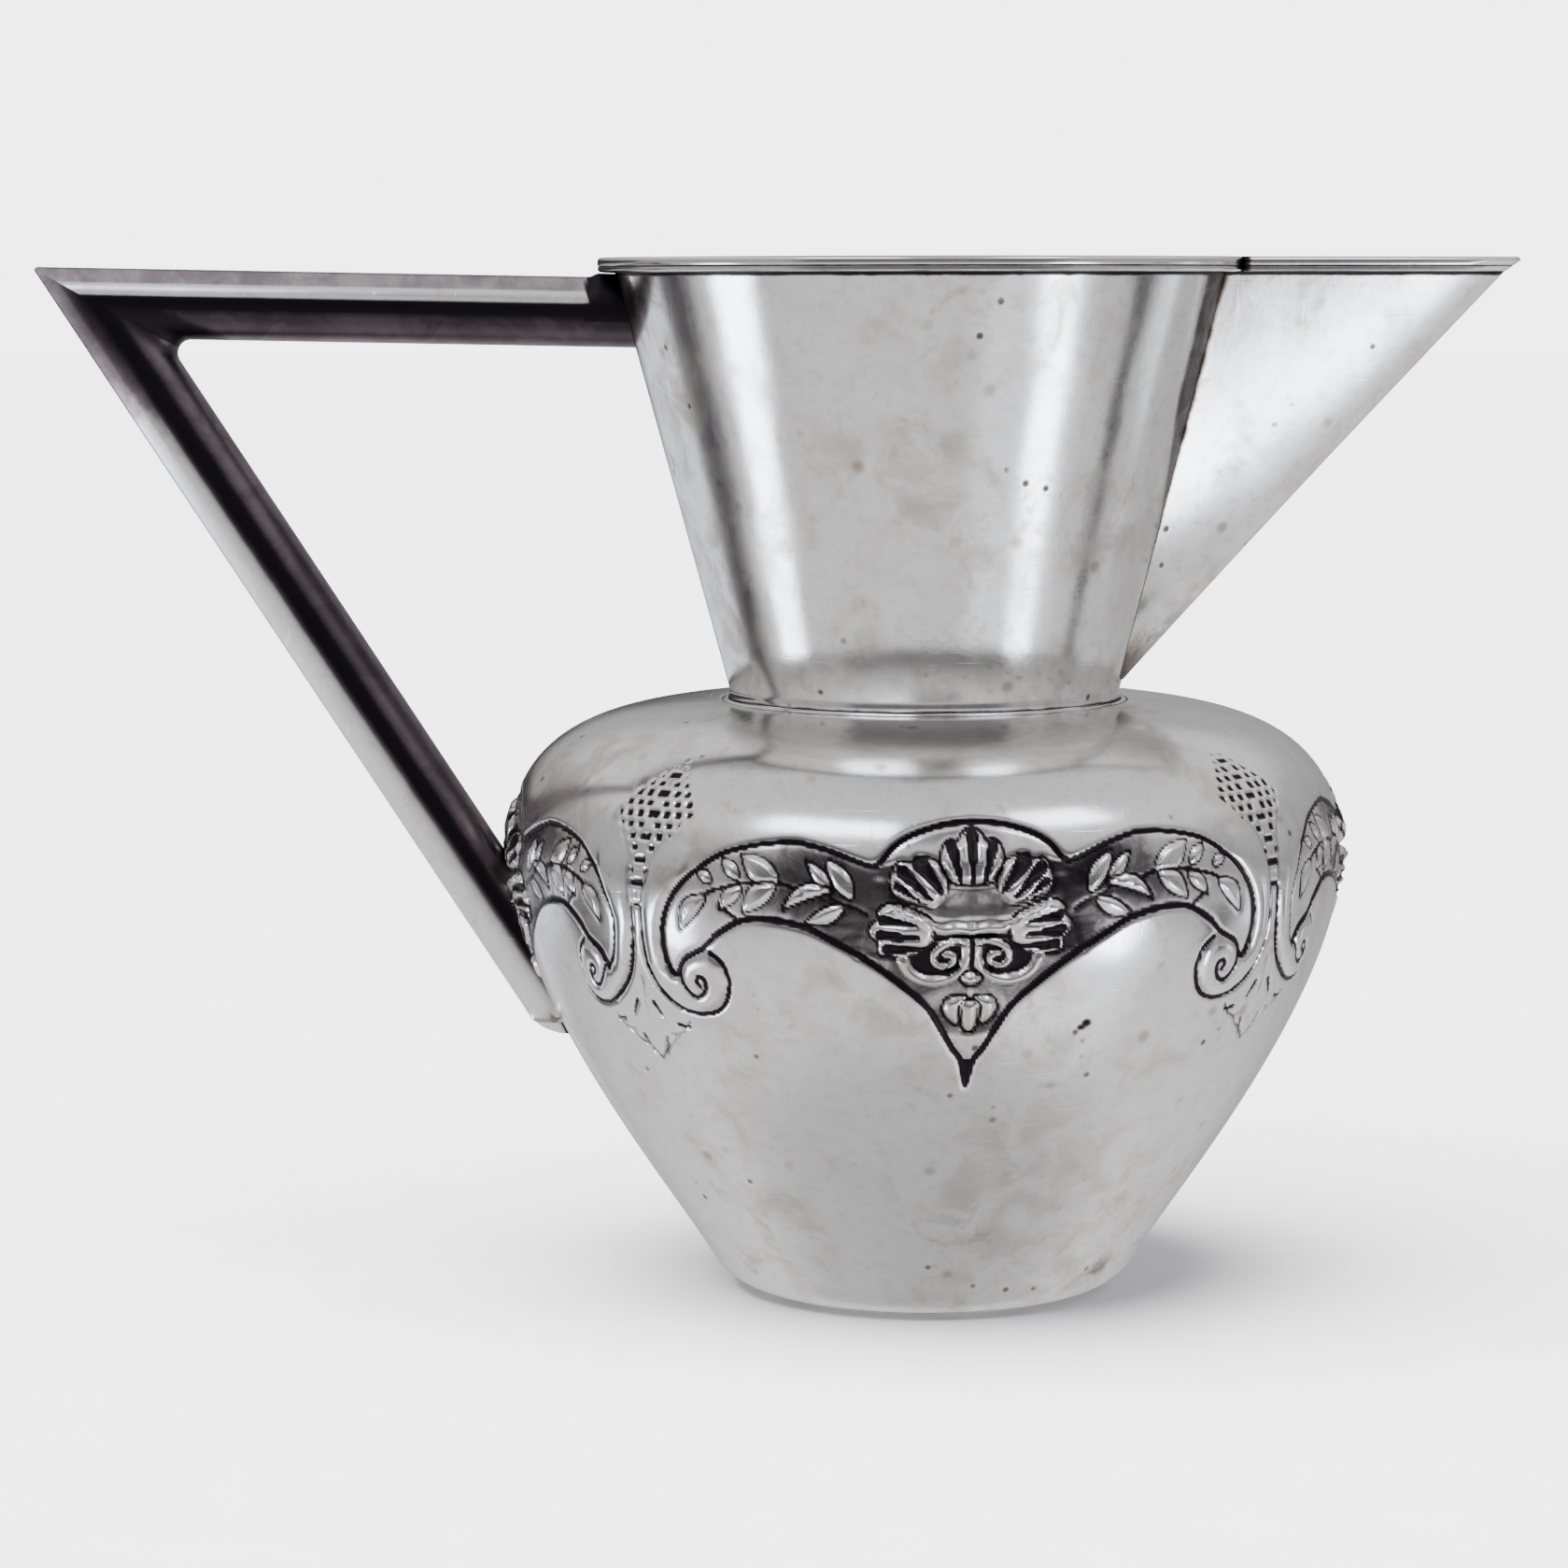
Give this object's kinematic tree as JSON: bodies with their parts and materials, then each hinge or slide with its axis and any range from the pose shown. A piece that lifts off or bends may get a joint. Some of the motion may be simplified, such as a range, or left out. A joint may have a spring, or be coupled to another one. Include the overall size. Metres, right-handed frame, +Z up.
{
  "type": "silver water pitcher",
  "caption": "Silver water pitcher: chased round bowl on a flat foot, flared neck with a long pointed spout, flat rim moulding and an angular hollow handle.",
  "frame": {"origin": "centre of the bowl's axis on the plane that the foot stands on", "axes": "+Z up along the axis of the bowl and neck; +X towards the spout; the handle is on -X"},
  "size_m": [0.2721, 0.154, 0.19],
  "materials": {
    "chased_silver": "polished silver, chased, with dark oxide in the recesses",
    "worn_silver": "worn satin silver with fine scratches",
    "polished_silver": "hand polished silver with light tarnish and planishing waves",
    "rim_silver": "polished silver moulding",
    "handle_silver": "polished silver with a darker tarnish"
  },
  "bodies": {
    "root": {"body_shell": "chased_silver", "base_plate": "worn_silver", "neck": "polished_silver", "spout": "polished_silver", "neck_rim": "rim_silver", "spout_rim": "rim_silver", "handle_top_arm": "handle_silver", "handle_diagonal_arm": "handle_silver", "handle_toe_cap": "handle_silver"}
  },
  "joints": []
}
